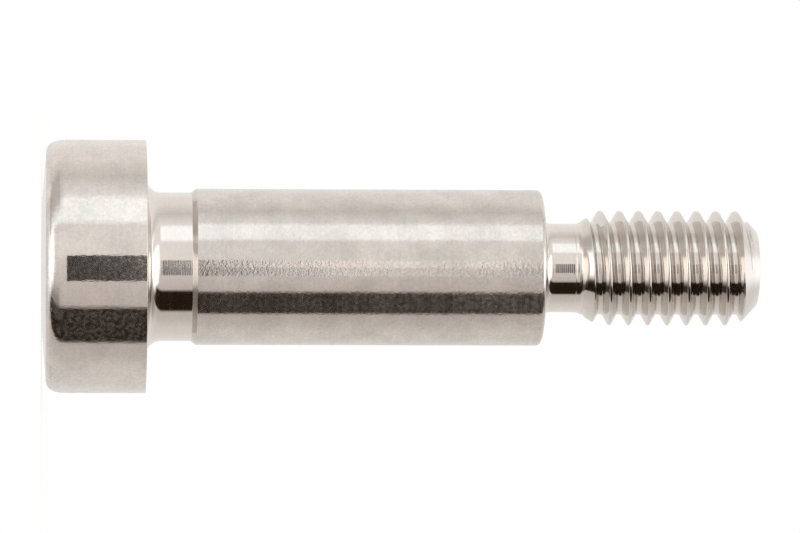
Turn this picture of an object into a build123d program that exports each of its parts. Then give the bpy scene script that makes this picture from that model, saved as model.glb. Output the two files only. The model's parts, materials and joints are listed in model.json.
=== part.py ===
from build123d import *
from math import ceil, radians, tan
import os

# A shoulder bolt (socket head shoulder screw), turned in one piece from a stainless steel bar.
# It stands on the flat end of its head: the origin is the centre of that end, and +Z runs up
# through the shoulder to the thread. All lengths are in millimetres and all angles in degrees.

# Head: a plain cylinder whose end is a flat ring round the socket and a shallow cone outside it
HEAD_D = 12.95
HEAD_HEIGHT = 5.3
HEAD_RING_D = 6.3
HEAD_CONE_ANGLE = 4.5
HEAD_EDGE_RADIUS = 0.8

# Hexagon socket, broached into a drilled hole
SOCKET_ACROSS_FLATS = 4.0
SOCKET_DEPTH = 3.4
SOCKET_MOUTH_D = 5.0
SOCKET_MOUTH_ANGLE = 120.0
DRILL_POINT_ANGLE = 120.0

# Undercut below the head, which clears the edge of the hole that the shoulder seats in.
# Its two ends climb at one angle, to the head's underside and to the shoulder.
UNDERCUT_D = 7.6
UNDERCUT_WIDTH = 2.75
UNDERCUT_HEAD_D = 8.6
UNDERCUT_RAMP_ANGLE = 30.0

# Shoulder: the ground cylinder, measured from the underside of the head to its own end
SHOULDER_D = 8.0
SHOULDER_LENGTH = 20.27
SHOULDER_CHAMFER = 0.15

# Neck between the shoulder's end face and the thread, with the cone that climbs to the thread
NECK_D = 4.6
NECK_WIDTH = 1.85
NECK_RADIUS = 0.6
FLARE_ANGLE = 32.0

# Thread: M6 x 1, right hand, measured from the shoulder's end face to the end of the bolt
THREAD_D = 5.9
THREAD_PITCH = 1.0
THREAD_CREST = 0.125
THREAD_DEPTH = 0.55
THREAD_LENGTH = 11.15
THREAD_FLANK_ANGLE = 30.0
POINT_D = 3.9
POINT_ANGLE = 47.0

# How far a cutter reaches past the surface that it opens
OVERCUT = 0.05

# Heights of the faces that the parts of the bolt share
shoulder_start = HEAD_HEIGHT
shoulder_end = shoulder_start + SHOULDER_LENGTH
bolt_end = shoulder_end + THREAD_LENGTH


def run_along(radial, angle):
    """Length along the axis of a cone that climbs radial, at an angle to the axis."""
    return radial / tan(radians(angle))


def turned_blank():
    """The whole bolt before broaching and threading: one outline, revolved."""
    head_fall = (HEAD_D - HEAD_RING_D) / 2 * tan(radians(HEAD_CONE_ANGLE))
    undercut_end = shoulder_start + UNDERCUT_WIDTH
    head_ramp = run_along((UNDERCUT_HEAD_D - UNDERCUT_D) / 2, UNDERCUT_RAMP_ANGLE)
    shoulder_ramp = run_along((SHOULDER_D - UNDERCUT_D) / 2, UNDERCUT_RAMP_ANGLE)
    flare_start = shoulder_end + NECK_WIDTH
    flare = run_along((THREAD_D - NECK_D) / 2, FLARE_ANGLE)
    point = run_along((THREAD_D - POINT_D) / 2, POINT_ANGLE)

    # Each corner of the outline: diameter, height and the radius that rounds it
    corners = [
        (HEAD_RING_D, 0, 0),
        (HEAD_D, head_fall, HEAD_EDGE_RADIUS),
        (HEAD_D, shoulder_start, 0),
        (UNDERCUT_HEAD_D, shoulder_start, 0),
        (UNDERCUT_D, shoulder_start + head_ramp, 0),
        (UNDERCUT_D, undercut_end - shoulder_ramp, 0),
        (SHOULDER_D, undercut_end, 0),
        (SHOULDER_D, shoulder_end - SHOULDER_CHAMFER, 0),
        (SHOULDER_D - 2 * SHOULDER_CHAMFER, shoulder_end, 0),
        (NECK_D, shoulder_end, NECK_RADIUS),
        (NECK_D, flare_start, 0),
        (THREAD_D, flare_start + flare, 0),
        (THREAD_D, bolt_end - point, 0),
        (POINT_D, bolt_end, 0),
    ]
    outline = [(diameter / 2, height) for diameter, height, _ in corners]
    radii = [radius for _, _, radius in corners]
    with BuildPart() as blank:
        with BuildSketch(Plane.XZ):
            with BuildLine():
                edge = FilletPolyline((0, 0), *outline, (0, bolt_end), radius=radii)
                Line(edge @ 1, edge @ 0)
            make_face()
        revolve(axis=Axis.Z)
    return blank.part


def socket_cutter():
    """The hexagon with its countersunk mouth, and the drill's cone at its bottom."""
    mouth_depth = run_along(SOCKET_MOUTH_D / 2, SOCKET_MOUTH_ANGLE / 2)
    drill_point = run_along(SOCKET_ACROSS_FLATS / 2, DRILL_POINT_ANGLE / 2)
    with BuildPart() as cutter:
        with BuildSketch(Plane.XY.offset(-OVERCUT)):
            RegularPolygon(SOCKET_ACROSS_FLATS / 2, 6, major_radius=False)
        extrude(amount=OVERCUT + SOCKET_DEPTH)
        with Locations((0, 0, mouth_depth / 2)):
            Cone(SOCKET_MOUTH_D / 2, 0, mouth_depth)
        with Locations((0, 0, SOCKET_DEPTH + drill_point / 2)):
            Cone(SOCKET_ACROSS_FLATS / 2, 0, drill_point)
    return cutter.part


def threaded(bolt):
    """The bolt with its thread cut, one turn of the V groove at a time.

    The groove starts in the open neck and runs on past the end of the bolt.
    """
    root_radius = THREAD_D / 2 - THREAD_DEPTH
    outer_radius = THREAD_D / 2 + OVERCUT
    flank_slope = tan(radians(THREAD_FLANK_ANGLE))
    root_half = (THREAD_PITCH - THREAD_CREST) / 2 - THREAD_DEPTH * flank_slope
    outer_half = root_half + (outer_radius - root_radius) * flank_slope
    groove_start = shoulder_end + NECK_WIDTH - 0.75 * THREAD_PITCH
    turns = ceil((bolt_end + outer_half - groove_start) / THREAD_PITCH)

    helix = Helix(THREAD_PITCH, THREAD_PITCH, root_radius, center=(0, 0, groove_start))
    with BuildSketch(Plane.XZ) as groove_section:
        with BuildLine():
            Polyline(
                (root_radius, groove_start - root_half),
                (outer_radius, groove_start - outer_half),
                (outer_radius, groove_start + outer_half),
                (root_radius, groove_start + root_half),
                close=True,
            )
        make_face()
    groove_turn = sweep(groove_section.sketch, path=helix, is_frenet=True)
    for turn in range(turns):
        bolt -= Pos(0, 0, turn * THREAD_PITCH) * groove_turn
    return bolt


def shoulder_bolt():
    """The finished bolt, one solid."""
    return threaded(turned_blank() - socket_cutter())


os.makedirs("parts", exist_ok=True)
export_step(shoulder_bolt(), "parts/shoulder_bolt.step")
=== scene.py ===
"""Looks of the shoulder bolt: one turned, threaded steel mesh in a white studio.

The bolt stands on its head with its axis on Z, as the CAD frame has it. Sizes are in millimetres
unless a comment says otherwise, and angles in degrees. MM turns a size into the scene's metres.
"""
import json
import math

import bpy
from mathutils import Matrix, Vector


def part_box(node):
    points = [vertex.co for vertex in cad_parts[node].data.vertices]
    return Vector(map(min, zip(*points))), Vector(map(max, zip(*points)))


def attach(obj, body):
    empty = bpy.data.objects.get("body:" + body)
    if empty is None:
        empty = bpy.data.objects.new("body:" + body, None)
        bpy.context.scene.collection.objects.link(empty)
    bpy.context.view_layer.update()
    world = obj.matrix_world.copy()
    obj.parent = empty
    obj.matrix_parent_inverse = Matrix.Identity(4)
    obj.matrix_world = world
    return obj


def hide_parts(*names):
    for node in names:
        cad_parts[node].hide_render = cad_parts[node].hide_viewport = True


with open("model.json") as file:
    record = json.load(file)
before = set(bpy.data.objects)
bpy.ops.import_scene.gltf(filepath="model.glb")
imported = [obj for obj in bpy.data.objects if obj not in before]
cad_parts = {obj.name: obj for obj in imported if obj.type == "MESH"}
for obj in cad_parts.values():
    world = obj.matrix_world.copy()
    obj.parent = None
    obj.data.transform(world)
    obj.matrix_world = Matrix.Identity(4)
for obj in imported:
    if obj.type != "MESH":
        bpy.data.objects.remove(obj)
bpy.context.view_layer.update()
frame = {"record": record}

MM = 0.001
NODE = "shoulder_bolt"

# ---------------------------------------------------------------- sizes
mounts = {mount["name"]: mount for mount in frame["record"]["mounts"]}
node_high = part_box(NODE)[1]

# These four come from the frame
HEAD_R = node_high.x / MM
BOLT_END = node_high.z / MM
HEAD_HEIGHT = mounts["bearing_face"]["pos_m"][2] / MM
SHOULDER_R = mounts["shoulder"]["dims"]["r_mm"]

# From the underside of the head to the shoulder's own end
SHOULDER_LENGTH = 20.27
SHOULDER_END = HEAD_HEIGHT + SHOULDER_LENGTH

# Head: a flat ring round the socket, a shallow cone and an edge that tumbling has rounded.
# HEAD_EDGE lists the edge's radii, each with the angle that it turns through.
HEAD_RING_R = 3.15
HEAD_CONE_ANGLE = 4.5
HEAD_EDGE = [(0.55, 58.5), (1.15, 22.0), (6.0, 5.0)]
HEAD_BACK_EDGE = 0.03

# Hexagon socket. Its mouth and the drill's cone have one angle to the head's end.
SOCKET_ACROSS_FLATS = 4.0
SOCKET_DEPTH = 3.4
SOCKET_MOUTH_R = 2.5
DRILL_ANGLE = 30
DRILL_SLOPE = math.tan(math.radians(DRILL_ANGLE))

# Undercut: the fillet below the head, and the ramp up to the shoulder
UNDERCUT_R = 3.8
UNDERCUT_WIDTH = 2.57
UNDERCUT_FILLET = 0.78
UNDERCUT_RAMP_ANGLE = 38
UNDERCUT_FOOT_RADIUS = 0.05
UNDERCUT_LIP_RADIUS = 0.05

SHOULDER_EDGE_RADIUS = 0.24

# Neck, with the last tool's feed marks and burr on it, placed from the shoulder's end
NECK_R = 2.28
NECK_WIDTH = 1.90
NECK_RADIUS = 0.48
FLARE_ANGLE = 33
FLARE_RADIUS = 0.45
FEED_START = 0.62
FEED_PITCH = 0.1
FEED_SLOPE = 3.4
FEED_COUNT = 10
FEED_RADIUS = 0.12
BURR_PLACE = 1.67
BURR_WIDTH = 0.05
BURR_HEIGHT = 0.008

# Thread, M6 x 1 right hand, with the corners of its flat root and narrow crest rounded.
# GROOVE_RISE is the height of its groove's middle over the shoulder's end, in the first column.
GROOVE_RISE = 1.08
THREAD_R = 2.95
ROOT_R = 2.385
PITCH = 1.0
CREST_WIDTH = 0.121
CREST_RADIUS = 0.085
ROOT_RADIUS = 0.10
FLANK_ANGLE = 30
POINT_R = 1.95
POINT_ANGLE = 47
POINT_EDGE_RADIUS = 0.06

# The helical surface starts ZONE_FOOT over the foot of the flare and stops ZONE_TOP under the
# bolt's end. Its grid stays ZONE_MARGIN clear of the rings that close it there.
ZONE_FOOT = 0.15
ZONE_TOP = 0.3
ZONE_MARGIN = 0.004

# How finely the mesh is divided. COLUMNS is a multiple of 6, for the hexagon's corners.
COLUMNS = 192
ARC_STEP = 7.5
ROOT_STEPS = 4
FLANK_STEPS = 3
CREST_STEPS = 6

# The finishes, in the order of the mesh's material slots. The fifth, on the ramp up to the shoulder, is
# steel drawn darker as painted shade.
FINISHES = ("tumbled", "knocked", "ground", "turned", "ramp_painted_shade", "rolled")


# ---------------------------------------------------------------- outline of the turned form
def unit(a, b):
    length = math.hypot(a, b)
    return a / length, b / length


class Outline:
    """Half section of a turned piece, followed with the metal on the left hand.

    Each strip has two points (r, z), the outward normal at both, and a finish.
    """

    def __init__(self):
        self.strips = []

    def line(self, start, end, finish):
        if math.dist(start, end) > 1e-6:
            normal = unit(end[1] - start[1], start[0] - end[0])
            self.strips.append((start, end, normal, normal, finish))

    def arc(self, start, end, centre, finish):
        first = math.atan2(start[1] - centre[1], start[0] - centre[0])
        turn = math.atan2(end[1] - centre[1], end[0] - centre[0]) - first
        turn = (turn + math.pi) % (2 * math.pi) - math.pi
        radius = math.dist(start, centre)
        steps = max(2, math.ceil(abs(math.degrees(turn)) / ARC_STEP))
        side = 1 if turn > 0 else -1
        points = []
        for k in range(steps + 1):
            angle = first + turn * k / steps
            out = (math.cos(angle), math.sin(angle))
            points.append(((centre[0] + radius * out[0], centre[1] + radius * out[1]),
                           (side * out[0], side * out[1])))
        for (p, n), (q, m) in zip(points, points[1:]):
            self.strips.append((p, q, n, m, finish))

    def bend(self, radius, angle, finish):
        """Carry on from the last strip through a left turn."""
        end, normal = self.strips[-1][1], self.strips[-1][3]
        centre = (end[0] - normal[0] * radius, end[1] - normal[1] * radius)
        c, s = math.cos(math.radians(angle)), math.sin(math.radians(angle))
        turned = (normal[0] * c - normal[1] * s, normal[0] * s + normal[1] * c)
        self.arc(end, (centre[0] + turned[0] * radius, centre[1] + turned[1] * radius), centre, finish)

    def rounded(self, corners):
        """Follow corners (r, z, radius, finish of the run that leads to the corner)."""
        here = corners[0][:2]
        for k in range(1, len(corners)):
            corner, radius, finish = corners[k][:2], corners[k][2], corners[k][3]
            if radius == 0 or k == len(corners) - 1:
                self.line(here, corner, finish)
                here = corner
                continue
            back = unit(corners[k - 1][0] - corner[0], corners[k - 1][1] - corner[1])
            on = unit(corners[k + 1][0] - corner[0], corners[k + 1][1] - corner[1])
            half = math.acos(back[0] * on[0] + back[1] * on[1]) / 2
            reach = radius / math.tan(half)
            middle = unit(back[0] + on[0], back[1] + on[1])
            centre = tuple(corner[i] + middle[i] * radius / math.sin(half) for i in (0, 1))
            start = tuple(corner[i] + back[i] * reach for i in (0, 1))
            end = tuple(corner[i] + on[i] * reach for i in (0, 1))
            self.line(here, start, finish)
            self.arc(start, end, centre, finish)
            here = end


def run(radial, angle):
    """Length along the axis of a cone that climbs radial, at an angle to the axis."""
    return radial / math.tan(math.radians(angle))


FLARE_START = SHOULDER_END + NECK_WIDTH
GROOVE_START = SHOULDER_END + GROOVE_RISE
ZONE_LOW = FLARE_START + ZONE_FOOT
ZONE_HIGH = BOLT_END - ZONE_TOP


def flare_radius(z):
    return NECK_R + (z - FLARE_START) * math.tan(math.radians(FLARE_ANGLE))


def point_radius(z):
    return POINT_R + (BOLT_END - z) * math.tan(math.radians(POINT_ANGLE))


def feed_marks():
    """The zigzag that the tool's feed leaves on the neck, as corners of the outline."""
    start = SHOULDER_END + FEED_START
    depth = FEED_PITCH / 2 * math.tan(math.radians(FEED_SLOPE))
    marks = [(NECK_R, start - FEED_PITCH / 2, 0, "turned")]
    for k in range(2 * FEED_COUNT - 1):
        radius = NECK_R - depth if k % 2 == 0 else NECK_R
        marks.append((radius, start + k * FEED_PITCH / 2, FEED_RADIUS, "turned"))
    marks.append((NECK_R, start + (2 * FEED_COUNT - 1) * FEED_PITCH / 2, 0, "turned"))
    return marks


def burr():
    """The fine ridge where the tool left the neck."""
    middle = SHOULDER_END + BURR_PLACE
    return [(NECK_R + height, middle + side * BURR_WIDTH / 2, 0, "turned")
            for height, side in ((0, -1), (BURR_HEIGHT, 0), (0, 1))]


def head_edge_drop():
    """How far the head's rounded edge is drawn in from the head's radius."""
    tilt, drop = 90.0 - HEAD_CONE_ANGLE, 0.0
    for radius, angle in HEAD_EDGE:
        drop += radius * (math.cos(math.radians(tilt - angle)) - math.cos(math.radians(tilt)))
        tilt -= angle
    return drop


def lower_outline():
    """From the socket's mouth over the head and shoulder to the foot of the thread."""
    edge_start = HEAD_R - head_edge_drop()
    fall = (edge_start - HEAD_RING_R) * math.tan(math.radians(HEAD_CONE_ANGLE))
    undercut_end = HEAD_HEIGHT + UNDERCUT_WIDTH
    ramp = run(SHOULDER_R - UNDERCUT_R, UNDERCUT_RAMP_ANGLE)

    outline = Outline()
    outline.line((SOCKET_MOUTH_R, 0), (HEAD_RING_R, 0), "turned")
    outline.line((HEAD_RING_R, 0), (edge_start, fall), "turned")
    for k, (radius, angle) in enumerate(HEAD_EDGE):
        outline.bend(radius, angle, "knocked" if k == 0 else "tumbled")
    outline.rounded([
        (*outline.strips[-1][1], 0, "tumbled"),
        (HEAD_R, HEAD_HEIGHT, HEAD_BACK_EDGE, "tumbled"),
        (UNDERCUT_R, HEAD_HEIGHT, UNDERCUT_FILLET, "turned"),
        (UNDERCUT_R, undercut_end - ramp, UNDERCUT_FOOT_RADIUS, "turned"),
        # The ramp up to the shoulder takes the steel drawn darker as painted shade
        (SHOULDER_R, undercut_end, UNDERCUT_LIP_RADIUS, "ramp_painted_shade"),
        (SHOULDER_R, SHOULDER_END, SHOULDER_EDGE_RADIUS, "ground"),
        (NECK_R, SHOULDER_END, NECK_RADIUS, "turned"),
        *feed_marks(),
        *burr(),
        (NECK_R, FLARE_START, FLARE_RADIUS, "turned"),
        (flare_radius(ZONE_LOW), ZONE_LOW, 0, "turned"),
    ])
    return outline.strips


def upper_outline():
    """From the end of the thread over the point to the middle of the bolt's end."""
    outline = Outline()
    outline.rounded([
        (point_radius(ZONE_HIGH), ZONE_HIGH, 0, "turned"),
        (POINT_R, BOLT_END, POINT_EDGE_RADIUS, "turned"),
        (0, BOLT_END, 0, "turned"),
    ])
    return outline.strips


# ---------------------------------------------------------------- thread form
class ThreadForm:
    """Radius of the thread's axial section, by distance x from the middle of its groove.

    Both corners are rounded: the one between the root and the flank, and the one at the crest.
    """

    def __init__(self):
        self.lean = math.radians(90 - FLANK_ANGLE)
        self.slope = math.tan(self.lean)
        self.root_corner = (PITCH - CREST_WIDTH) / 2 - (THREAD_R - ROOT_R) / self.slope
        self.root_flat, self.root_end = self.rounding(self.root_corner, ROOT_RADIUS, 1)
        self.crest_flat, self.crest_start = self.rounding((PITCH - CREST_WIDTH) / 2, CREST_RADIUS, -1)

    def rounding(self, corner, radius, side):
        """Where a corner's rounding meets the flat and the flank. side is +1 for the flank's foot."""
        back = radius * math.tan(self.lean / 2)
        return corner - side * back, corner + side * back * math.cos(self.lean)

    def at(self, x):
        """Radius and slope dr/dx, for x from 0 to half a pitch."""
        if x < self.root_flat:
            return ROOT_R, 0.0
        if x < self.root_end:
            reach = x - self.root_flat
            drop = math.sqrt(ROOT_RADIUS ** 2 - reach ** 2)
            return ROOT_R + ROOT_RADIUS - drop, reach / drop
        if x < self.crest_start:
            return ROOT_R + (x - self.root_corner) * self.slope, self.slope
        if x < self.crest_flat:
            reach = self.crest_flat - x
            drop = math.sqrt(CREST_RADIUS ** 2 - reach ** 2)
            return THREAD_R - CREST_RADIUS + drop, reach / drop
        return THREAD_R, 0.0

    def samples(self):
        """Places across one pitch, from the middle of one groove to the middle of the next."""
        half = [0.0] + [self.root_flat + ROOT_RADIUS * math.sin(self.lean * k / ROOT_STEPS)
                        for k in range(ROOT_STEPS + 1)]
        flank = (self.crest_start - self.root_end) / FLANK_STEPS
        half += [self.root_end + flank * k for k in range(1, FLANK_STEPS)]
        half += [self.crest_flat - CREST_RADIUS * math.sin(self.lean * k / CREST_STEPS)
                 for k in range(CREST_STEPS, -1, -1)]
        return half + [PITCH / 2] + [PITCH - x for x in reversed(half[1:])]


def thread_point(form, z, turn):
    """Radius at a height and turn (0 to 1) and the slopes along z and along the turn."""
    along = (z - GROOVE_START) / PITCH - turn
    offset = (along - math.floor(along)) * PITCH
    side = 1
    if offset > PITCH / 2:
        offset, side = PITCH - offset, -1
    radius, slope = form.at(offset)
    slope *= side
    flare, point = flare_radius(z), point_radius(z)
    if flare < radius and flare < point:
        return flare, math.tan(math.radians(FLARE_ANGLE)), 0.0
    if point < radius:
        return point, -math.tan(math.radians(POINT_ANGLE)), 0.0
    return radius, slope, -slope * PITCH / (2 * math.pi)


# ---------------------------------------------------------------- mesh
class Shell:
    """Vertices, faces, normals of the face corners and finish of each face."""

    def __init__(self):
        self.points, self.faces, self.normals, self.finishes = [], [], [], []

    def point(self, r, z, angle):
        self.points.append((r * math.cos(angle) * MM, r * math.sin(angle) * MM, z * MM))
        return len(self.points) - 1

    def ring(self, r, z):
        return [self.point(r, z, angle_of(i)) for i in range(COLUMNS)]

    def face(self, corners, normals, finish):
        self.faces.append(corners)
        self.normals.append(normals)
        self.finishes.append(FINISHES.index(finish))


def angle_of(i):
    return 2 * math.pi * i / COLUMNS


def around(i, normal):
    """A profile normal (radial, axial) turned to column i."""
    angle = angle_of(i)
    return normal[0] * math.cos(angle), normal[0] * math.sin(angle), normal[1]


def add_strips(shell, strips, low):
    """Revolve an outline, on from its first ring. Returns its last ring, unless it ends in a pole."""
    for start, end, normal, end_normal, finish in strips:
        if end[0] == 0:
            pole = shell.point(0, end[1], 0)
            for i in range(COLUMNS):
                j = (i + 1) % COLUMNS
                shell.face((low[i], low[j], pole),
                           (around(i, normal), around(i + 1, normal), around(i, end_normal)), finish)
            return None
        high = shell.ring(*end)
        for i in range(COLUMNS):
            j = (i + 1) % COLUMNS
            shell.face((low[i], low[j], high[j], high[i]),
                       (around(i, normal), around(i + 1, normal),
                        around(i + 1, end_normal), around(i, end_normal)), finish)
        low = high
    return low


def add_socket(shell, mouth):
    """The hexagon, its countersunk mouth and the drill's cone, joined to the mouth's ring."""
    flat = SOCKET_ACROSS_FLATS / 2
    sector = math.pi / 3

    def hexagon_radius(i):
        return flat / math.cos(angle_of(i) % sector - sector / 2)

    lip = [shell.point(hexagon_radius(i), (SOCKET_MOUTH_R - hexagon_radius(i)) * DRILL_SLOPE,
                       angle_of(i)) for i in range(COLUMNS)]
    foot = [shell.point(hexagon_radius(i), SOCKET_DEPTH, angle_of(i)) for i in range(COLUMNS)]
    drill = shell.ring(flat, SOCKET_DEPTH)
    apex = shell.point(0, SOCKET_DEPTH + flat * DRILL_SLOPE, 0)
    cone = unit(-DRILL_SLOPE, -1)
    floor = (0, -1)
    for i in range(COLUMNS):
        j = (i + 1) % COLUMNS
        wall_angle = (math.floor(i / COLUMNS * 6) + 0.5) * sector
        wall = (-math.cos(wall_angle), -math.sin(wall_angle), 0)
        cones = (around(i, cone), around(i + 1, cone))
        floors = (around(i, floor), around(i + 1, floor))
        shell.face((lip[i], lip[j], mouth[j], mouth[i]), cones + cones[::-1], "turned")
        shell.face((foot[i], foot[j], lip[j], lip[i]), (wall,) * 4, "turned")
        shell.face((drill[i], drill[j], foot[j], foot[i]), floors + floors[::-1], "turned")
        shell.face((apex, drill[j], drill[i]), (around(i, floor), *cones[::-1]), "turned")


def add_thread(shell, low, high):
    """The helical surface between two rings, on a grid that leans with the helix."""
    form = ThreadForm()
    places = form.samples()
    per_pitch = len(places)
    first = math.floor((ZONE_LOW - GROOVE_START) / PITCH) - 1
    last = math.ceil((ZONE_HIGH - GROOVE_START) / PITCH) + 1
    levels = [GROOVE_START + turn * PITCH + x for turn in range(first, last) for x in places]

    columns, normals = [], {}
    for i in range(COLUMNS):
        turn = i / COLUMNS
        column = {}
        for k, level in enumerate(levels):
            z = level + PITCH * turn
            if ZONE_LOW + ZONE_MARGIN < z < ZONE_HIGH - ZONE_MARGIN:
                radius, slope, twist = thread_point(form, z, turn)
                vertex = column[k] = shell.point(radius, z, angle_of(i))
                length = math.sqrt(1 + slope * slope + (twist / radius) ** 2)
                radial, tangent = 1 / length, -twist / radius / length
                c, s = math.cos(angle_of(i)), math.sin(angle_of(i))
                normals[vertex] = (radial * c - tangent * s, radial * s + tangent * c,
                                   -slope / length)
        columns.append(column)
    columns.append({k - per_pitch: vertex for k, vertex in columns[0].items()})

    flare_normal = unit(1, -math.tan(math.radians(FLARE_ANGLE)))
    point_normal = unit(1, math.tan(math.radians(POINT_ANGLE)))
    for i in range(COLUMNS):
        j = (i + 1) % COLUMNS
        for vertex, normal in ((low[i], flare_normal), (high[i], point_normal)):
            normals[vertex] = around(i, normal)
        for vertex, normal in ((low[j], flare_normal), (high[j], point_normal)):
            normals[vertex] = around(j, normal)
        left, right = columns[i], columns[i + 1]
        left_low, left_high = min(left), max(left)
        right_low, right_high = min(right), max(right)
        faces = [(low[i], low[j], *(right[k] for k in range(right_low, left_low + 1)), left[left_low])]
        faces += [(left[k], right[k], right[k + 1], left[k + 1]) for k in range(left_low, right_high)]
        faces.append((left[right_high], right[right_high], high[j], high[i],
                      *(left[k] for k in range(left_high, right_high, -1))))
        for corners in faces:
            shell.face(corners, tuple(normals[vertex] for vertex in corners), "rolled")


def build_bolt():
    shell = Shell()
    lower, upper = lower_outline(), upper_outline()
    mouth = shell.ring(*lower[0][0])
    add_socket(shell, mouth)
    low = add_strips(shell, lower, mouth)
    high = shell.ring(*upper[0][0])
    add_thread(shell, low, high)
    add_strips(shell, upper, high)

    mesh = bpy.data.meshes.new("bolt")
    mesh.from_pydata(shell.points, [], shell.faces)
    mesh.polygons.foreach_set("material_index", shell.finishes)
    mesh.polygons.foreach_set("use_smooth", [True] * len(shell.faces))
    mesh.normals_split_custom_set([normal for face in shell.normals for normal in face])
    mesh.update()
    bolt = bpy.data.objects.new("bolt", mesh)
    bpy.context.collection.objects.link(bolt)
    return bolt


# ---------------------------------------------------------------- materials
class Nodes:
    """A small helper that adds and links the nodes of one material or world."""

    def __init__(self, tree):
        self.tree = tree
        tree.nodes.clear()

    def add(self, kind, inputs=None, **settings):
        node = self.tree.nodes.new(kind)
        for name, value in settings.items():
            setattr(node, name, value)
        for name, value in (inputs or {}).items():
            socket = node.inputs[name]
            if isinstance(value, bpy.types.NodeSocket):
                self.tree.links.new(value, socket)
            else:
                socket.default_value = value
        return node

    def math(self, operation, a, b=0.0):
        return self.add("ShaderNodeMath", {0: a, 1: b}, operation=operation).outputs[0]

    def spread(self, value, low, high, to_low=0.0, to_high=1.0, smooth=False):
        kind = "SMOOTHSTEP" if smooth else "LINEAR"
        node = self.add("ShaderNodeMapRange", {0: value, 1: low, 2: high, 3: to_low, 4: to_high},
                        interpolation_type=kind)
        return node.outputs[0]

    def mix(self, factor, a, b):
        """Two colours mixed."""
        return self.add("ShaderNodeMix", {0: factor, 6: a, 7: b}, data_type="RGBA").outputs[2]

    def blend(self, factor, a, b):
        """Two values mixed."""
        return self.add("ShaderNodeMix", {0: factor, 2: a, 3: b}).outputs[0]


# The steel's colour wanders between these two
STEEL_WARM = (0.715, 0.660, 0.608)
STEEL_COOL = (0.690, 0.662, 0.628)

# The noises that all finishes share, each as its size and detail: the steel's two tones, the
# clouds, the speckles, and the dull part in spots and in lines round the bolt
TONE_NOISE = (0.7, 3.0)
CLOUD_NOISE = (1.5, 4.0)
SPECKLE_NOISE = (0.16, 3.0)
SPOT_NOISE = (0.19, 1.5)
STREAK_NOISE = (0.2, 4.0)
LINES_DETAIL = 3.0
NOISE_ROUGHNESS = 0.55
# The values of a noise at which it has its least and its greatest effect
TONE_SPAN = (0.25, 0.75)
SWING_SPAN = (0.3, 0.7)
DULL_SPAN = (0.36, 0.68)
# How slowly the lines change across the bolt
LINES_DRIFT = 1 / 30

# Each finish: how bright the steel is; the roughness of its smooth and its dull part; the least
# and the greatest share of the dull part; how much of that share runs in lines round the bolt; how
# many times greater that share and the grain's relief are at the shoulder's end than under the
# head; how far the colour clouds over and speckles; and two fine reliefs: a grain, as its width,
# height and stretch along the bolt, and the lines, as their width and height
LOOKS = {
    "tumbled": dict(shade=1.05, smooth=0.06, dull=0.85, share=(0.035, 0.205), lined=0.0, worn=1.0,
                    cloud=0.07, speckle=0.04, grain=(0.17, 0.0025, 3.6), lines=(0.10, 0.00005)),
    "knocked": dict(shade=1.00, smooth=0.10, dull=0.70, share=(0.05, 0.40), lined=0.0, worn=1.0,
                    cloud=0.16, speckle=0.06, grain=(0.14, 0.0030, 1.5), lines=(0.10, 0.00005)),
    "ground": dict(shade=1.01, smooth=0.08, dull=0.85, share=(0.05, 0.17), lined=0.4, worn=2.1,
                   cloud=0.09, speckle=0.05, grain=(0.16, 0.0046, 1.0), lines=(0.06, 0.0001)),
    "turned": dict(shade=1.05, smooth=0.06, dull=0.30, share=(0.00, 0.05), lined=1.0, worn=1.0,
                   cloud=0.03, speckle=0.03, grain=(0.30, 0.0001, 1.0), lines=(0.03, 0.0005)),
    # The ramp's finish: painted shade, the steel drawn darker where the head's underside darkens what
    # the ramp mirrors
    "ramp_painted_shade": dict(shade=0.86, smooth=0.10, dull=0.50, share=(0.00, 0.20), lined=1.0, worn=1.0,
                   cloud=0.05, speckle=0.05, grain=(0.30, 0.0003, 1.0), lines=(0.03, 0.0005)),
    "rolled": dict(shade=0.97, smooth=0.06, dull=0.30, share=(0.00, 0.04), lined=0.0, worn=1.0,
                   cloud=0.02, speckle=0.02, grain=(0.30, 0.00005, 1.0), lines=(0.08, 0.00002)),
}


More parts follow.
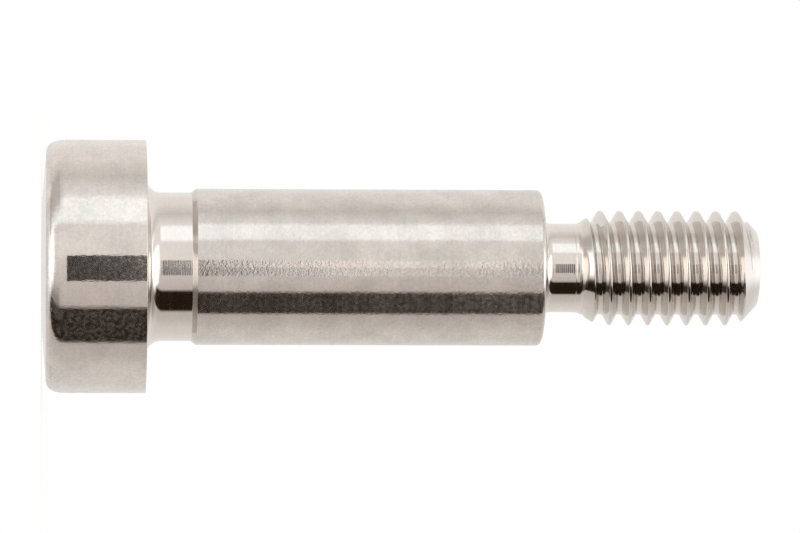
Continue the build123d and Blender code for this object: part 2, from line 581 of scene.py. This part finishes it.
def steel(name, shade, smooth, dull, share, lined, worn, cloud, speckle, grain, lines):
    """Stainless steel in one of the LOOKS."""
    material = bpy.data.materials.new(name)
    material.use_nodes = True
    nodes = Nodes(material.node_tree)
    place = nodes.add("ShaderNodeTexCoord").outputs["Object"]
    millimetres = nodes.add("ShaderNodeVectorMath", {0: place, "Scale": 1 / MM},
                            operation="SCALE").outputs[0]
    axes = nodes.add("ShaderNodeSeparateXYZ", {0: millimetres}).outputs
    radius = nodes.math("SQRT", nodes.math("ADD", nodes.math("MULTIPLY", axes[0], axes[0]),
                                           nodes.math("MULTIPLY", axes[1], axes[1])))
    drift = nodes.math("MULTIPLY", nodes.math("ADD", axes[0], axes[1]), LINES_DRIFT)
    around_bolt = nodes.add("ShaderNodeCombineXYZ", {0: radius, 1: drift, 2: axes[2]}).outputs[0]

    def noise(where, size, detail=2.0):
        return nodes.add("ShaderNodeTexNoise", {"Vector": where, "Scale": 1 / size, "Detail": detail,
                                                "Roughness": NOISE_ROUGHNESS}).outputs["Fac"]

    def swing(value, amount):
        return nodes.spread(value, *SWING_SPAN, 1 - amount, 1 + amount)

    drawn_out = nodes.add("ShaderNodeVectorMath", {0: millimetres, 1: (1, 1, 1 / grain[2])},
                          operation="MULTIPLY").outputs[0]
    grains, turns = noise(drawn_out, grain[0]), noise(around_bolt, lines[0], LINES_DETAIL)
    tone = nodes.spread(noise(millimetres, *TONE_NOISE), *TONE_SPAN)
    brightness = nodes.math("MULTIPLY", swing(noise(millimetres, *CLOUD_NOISE), cloud),
                            nodes.math("MULTIPLY", swing(noise(millimetres, *SPECKLE_NOISE), speckle),
                                       swing(turns, speckle / 2)))
    warm, cool = ([shade * value for value in base] + [1] for base in (STEEL_WARM, STEEL_COOL))
    color = nodes.add("ShaderNodeVectorMath", {0: nodes.mix(tone, warm, cool), "Scale": brightness},
                      operation="SCALE").outputs[0]
    scatter = nodes.blend(lined, noise(millimetres, *SPOT_NOISE), noise(around_bolt, *STREAK_NOISE))
    dulled = nodes.math("MULTIPLY", nodes.spread(scatter, *DULL_SPAN, *share),
                        nodes.spread(axes[2], HEAD_HEIGHT, SHOULDER_END, 1.0, worn))

    roughened = nodes.spread(axes[2], HEAD_HEIGHT, SHOULDER_END, 1 / worn, 1.0)
    relief = nodes.add("ShaderNodeBump", {"Height": turns, "Distance": lines[1] * MM}).outputs[0]
    relief = nodes.add("ShaderNodeBump", {"Height": grains, "Distance": grain[1] * MM,
                                          "Strength": roughened, "Normal": relief}).outputs[0]
    parts = [nodes.add("ShaderNodeBsdfPrincipled", {"Base Color": color, "Metallic": 1.0,
                                                    "Roughness": rough, "Normal": relief})
             for rough in (smooth, dull)]
    surface = nodes.add("ShaderNodeMixShader", {0: dulled, 1: parts[0].outputs[0],
                                                2: parts[1].outputs[0]})
    nodes.add("ShaderNodeOutputMaterial", {"Surface": surface.outputs[0]})
    return material


# ---------------------------------------------------------------- studio
# What the bolt mirrors. The world is painted by direction: by the angle round the bolt, from the
# camera's side (0) up in the picture (+) and down (-), and by the height over the horizon. It is
# no plain soft light: the cards and what hides them are fitted to the reflections of one setting.

# The light of the cards, by the angle round the bolt. The ramps hold it as a share of its peak.
CARDS = [
    (-180, (0.84, 0.83, 0.82)),
    (-150, (0.90, 0.88, 0.87)),
    (-110, (0.82, 0.78, 0.75)),
    (-90, (0.68, 0.64, 0.61)),
    (-75, (0.62, 0.57, 0.56)),
    (-71, (0.020, 0.012, 0.007)),
    (-39, (0.020, 0.012, 0.007)),
    (-35, (0.66, 0.60, 0.58)),
    (-14, (0.76, 0.70, 0.67)),
    (12, (0.98, 0.95, 0.92)),
    (38, (0.98, 0.95, 0.94)),
    (43, (1.32, 1.36, 1.38)),
    (63, (1.32, 1.36, 1.38)),
    (69, (0.98, 0.97, 0.98)),
    (90, (0.76, 0.73, 0.71)),
    (115, (1.00, 0.96, 0.94)),
    (150, (1.02, 1.00, 0.98)),
    (180, (0.86, 0.85, 0.84)),
]
CARD_PEAK = 1.5
# How far up and down the cards reach, by the same angle. White lies beyond their ends.
REACHES = [
    (-180, 62, 75),
    (-90, 76, 76),
    (-70, 64, 72),
    (-50, 54, 68),
    (-36, 48, 60),
    (-26, 32, 52),
    (0, 25, 42),
    (35, 30, 42),
    (50, 46, 48),
    (75, 60, 56),
    (100, 72, 64),
    (120, 76, 76),
    (180, 62, 75),
]
REACH_SOFT = 11.0
BEYOND = [
    (-180, (1.40, 1.42, 1.44)),
    (-60, (1.40, 1.42, 1.44)),
    (-35, (1.70, 1.70, 1.70)),
    (-5, (2.10, 2.05, 2.00)),
    (20, (2.10, 2.05, 2.00)),
    (50, (1.50, 1.50, 1.50)),
    (180, (1.40, 1.42, 1.44)),
]
BEYOND_PEAK = 2.1
# What stands in front of the cards, later entries before earlier ones: the angles round the bolt
# and the heights between which it hides them, how soft its edges are (sideways, up and down), how
# far its colour replaces what lies behind it, and that colour. All but the last two are degrees.
# The rails and the gap are made up, to give the fine relief of the shoulder something to break up.
FRONT = (-13.0, 10.0)
RAIL_FEET = (2.5, 3.4, 4.7, 5.3)
RAIL_HEIGHT = 0.3
HIDDEN = {
    "glow": ((-1.0, 10.0), (1.8, 6.2), (0.8, 0.6), 1.0, (1.410, 1.340, 1.320)),
    "haze": ((-13.0, -1.0), (1.8, 6.2), (0.8, 0.6), 1.0, (0.990, 0.950, 0.940)),
    **{f"rail {foot}": (FRONT, (foot, foot + RAIL_HEIGHT), (0.8, 0.12), 0.85, (0.100, 0.090, 0.080))
       for foot in RAIL_FEET},
    "gap": (FRONT, (4.05, 4.5), (0.8, 0.2), 0.7, (2.500, 2.350, 2.280)),
    "camera": (FRONT, (-3.5, 1.62), (0.4, 0.3), 1.0, (0.030, 0.025, 0.023)),
    "stand": (FRONT, (6.4, 14.0), (0.3, 0.3), 0.46, (0.050, 0.042, 0.040)),
    "strip's end": ((38.0, 70.0), (14.0, 75.0), (4.0, 4.0), 1.0, (0.980, 0.940, 0.920)),
    "high left": ((-125.0, -58.0), (48.0, 84.0), (9.0, 8.0), 0.7, (0.250, 0.200, 0.170)),
    "card's foot": ((-45.0, -22.0), (-60.0, -12.0), (8.0, 6.0), 0.6, (0.150, 0.120, 0.110)),
    "grey card": ((54.0, 96.0), (-70.0, -8.0), (8.0, 3.0), 0.8, (0.580, 0.540, 0.520)),
}


def angle_ramp(nodes, position, stops):
    """A colour ramp over the full turn. stops are (degrees, colour)."""
    ramp = nodes.add("ShaderNodeValToRGB", {0: position})
    elements = ramp.color_ramp.elements
    elements.remove(elements[-1])
    for k, (angle, color) in enumerate(stops):
        place = (angle + 180) / 360
        element = elements[0] if k == 0 else elements.new(place)
        element.position = place
        element.color = tuple(color) + (1,)
    return ramp.outputs[0]


def studio_world():
    """White to the camera. The bolt is lit by upright cards all round it, by white over and under
    them and by what stands in front of them."""
    world = bpy.data.worlds.new("studio")
    bpy.context.scene.world = world
    world.use_nodes = True
    nodes = Nodes(world.node_tree)
    ray = nodes.add("ShaderNodeTexCoord").outputs["Generated"]
    axes = nodes.add("ShaderNodeSeparateXYZ", {0: ray}).outputs
    side = nodes.math("MULTIPLY", axes[0], -1.0)
    front = nodes.math("MULTIPLY", axes[1], -1.0)
    degrees = nodes.math("MULTIPLY", nodes.math("ARCTAN2", side, front), 180 / math.pi)
    height = nodes.math("MULTIPLY", nodes.math("ARCSINE", axes[2]), 180 / math.pi)
    position = nodes.spread(degrees, -180.0, 180.0)

    def lights(stops, peak):
        scaled = [(angle, [value / peak for value in color]) for angle, color in stops]
        return nodes.add("ShaderNodeVectorMath", {0: angle_ramp(nodes, position, scaled),
                                                  "Scale": peak}, operation="SCALE").outputs[0]

    cards, beyond = lights(CARDS, CARD_PEAK), lights(BEYOND, BEYOND_PEAK)

    reaches = angle_ramp(nodes, position, [(angle, (up / 90, down / 90, 0))
                                           for angle, up, down in REACHES])
    reach = nodes.add("ShaderNodeSeparateColor", {0: reaches}).outputs
    below = nodes.math("LESS_THAN", height, 0.0)
    near_end = nodes.blend(below, reach[0], reach[1])
    past = nodes.math("SUBTRACT", nodes.math("ABSOLUTE", height), nodes.math("MULTIPLY", near_end, 90.0))
    lit = nodes.mix(nodes.spread(past, -REACH_SOFT, REACH_SOFT, smooth=True), cards, beyond)

    def between(value, ends, soft):
        low, high = ends
        return nodes.math("MULTIPLY", nodes.spread(value, low - soft, low + soft),
                          nodes.spread(value, high + soft, high - soft))

    for sides, ends, soft, amount, color in HIDDEN.values():
        hidden = nodes.math("MULTIPLY", between(degrees, sides, soft[0]), between(height, ends, soft[1]))
        lit = nodes.mix(nodes.math("MULTIPLY", hidden, amount), lit, color + (1,))

    seen = nodes.add("ShaderNodeLightPath").outputs["Is Camera Ray"]
    color = nodes.mix(seen, lit, (1, 1, 1, 1))
    background = nodes.add("ShaderNodeBackground", {"Color": color, "Strength": 1.0})
    nodes.add("ShaderNodeOutputWorld", {"Surface": background.outputs[0]})


# The floor and the lamp, with their sizes and places in metres
FLOOR_SIZE = 4.0
FLOOR_LEVEL = -0.00001
FLOOR_COLOR = (0.92, 0.92, 0.92, 1)
# How much of the floor's white shines of itself where the bolt stands; and the distances from the
# bolt between which that grows to the whole
FLOOR_SHINE = 0.6
FLOOR_FADE = (0.06, 0.40)

KEY_SIZE = 0.25
KEY_WATTS = 0.35
KEY_PLACE = (-0.18, -0.22, 0.35)


def studio_floor():
    """A white floor that keeps the bolt's shadow. Reflections show the studio in its place."""
    half = FLOOR_SIZE / 2
    corners = [(-half, -half), (half, -half), (half, half), (-half, half)]
    mesh = bpy.data.meshes.new("floor")
    mesh.from_pydata([(x, y, FLOOR_LEVEL) for x, y in corners], [], [(0, 1, 2, 3)])
    floor = bpy.data.objects.new("floor", mesh)
    bpy.context.collection.objects.link(floor)
    material = bpy.data.materials.new("floor")
    material.use_nodes = True
    nodes = Nodes(material.node_tree)
    path = nodes.add("ShaderNodeLightPath").outputs
    plain = nodes.add("ShaderNodeBsdfDiffuse", {"Color": FLOOR_COLOR})
    white = nodes.add("ShaderNodeEmission", {"Color": (1, 1, 1, 1), "Strength": 1.0})
    place = nodes.add("ShaderNodeTexCoord").outputs["Object"]
    distance = nodes.add("ShaderNodeVectorMath", {0: place}, operation="LENGTH").outputs["Value"]
    own_white = nodes.spread(distance, *FLOOR_FADE, FLOOR_SHINE, 1.0, smooth=True)
    seen = nodes.math("MULTIPLY", path["Is Camera Ray"], own_white)
    shown = nodes.add("ShaderNodeMixShader", {0: seen, 1: plain.outputs[0], 2: white.outputs[0]})
    clear = nodes.add("ShaderNodeBsdfTransparent")
    surface = nodes.add("ShaderNodeMixShader", {0: path["Is Glossy Ray"], 1: shown.outputs[0],
                                                2: clear.outputs[0]})
    nodes.add("ShaderNodeOutputMaterial", {"Surface": surface.outputs[0]})
    mesh.materials.append(material)


def key_light():
    """A soft light from above, in front and the left, which gives the floor its shadow."""
    lamp = bpy.data.lights.new("key", "AREA")
    lamp.shape = "DISK"
    lamp.size = KEY_SIZE
    lamp.energy = KEY_WATTS
    lamp_object = bpy.data.objects.new("key", lamp)
    lamp_object.location = KEY_PLACE
    lamp_object.rotation_euler = Vector(lamp_object.location).to_track_quat("Z", "Y").to_euler()
    lamp_object.visible_glossy = False
    bpy.context.collection.objects.link(lamp_object)


# ---------------------------------------------------------------- camera
SENSOR = 36.0
IMAGE_WIDTH = 800
CAMERA_DISTANCE = 250.0
PIXELS_PER_MM = 19.47
CAMERA_HEIGHT = 0.6
CAMERA_AIM = 18.35
CAMERA_SIDE = -0.049
CAMERA_ROLL = 0.18
CAMERA_CLIP = (0.01, 20)  # metres


def add_camera():
    """The camera lies on its side: the bolt's axis runs to the right of the picture."""
    camera = bpy.data.cameras.new("camera")
    camera.sensor_width = SENSOR
    camera.lens = PIXELS_PER_MM * CAMERA_DISTANCE * SENSOR / IMAGE_WIDTH
    camera.clip_start, camera.clip_end = CAMERA_CLIP
    tilt = math.asin((CAMERA_AIM - CAMERA_HEIGHT) / CAMERA_DISTANCE)
    place = Vector((CAMERA_SIDE, -CAMERA_DISTANCE * math.cos(tilt), CAMERA_HEIGHT)) * MM
    aim = Vector((CAMERA_SIDE, 0, CAMERA_AIM)) * MM
    back = (place - aim).normalized()
    up = Vector((-1, 0, 0))
    right = up.cross(back).normalized()
    turn = Matrix((right, up, back)).transposed().to_4x4()
    roll = Matrix.Rotation(math.radians(CAMERA_ROLL), 4, "Z")
    camera_object = bpy.data.objects.new("camera", camera)
    camera_object.matrix_world = Matrix.Translation(place) @ turn @ roll
    bpy.context.collection.objects.link(camera_object)
    bpy.context.scene.camera = camera_object


# ---------------------------------------------------------------- the scene
add_camera()
studio_world()
studio_floor()
key_light()
bpy.context.scene.view_settings.view_transform = "Standard"

bolt = build_bolt()
for finish in FINISHES:
    bolt.data.materials.append(steel(finish + "_steel", **LOOKS[finish]))
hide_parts(NODE)
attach(bolt, "root")
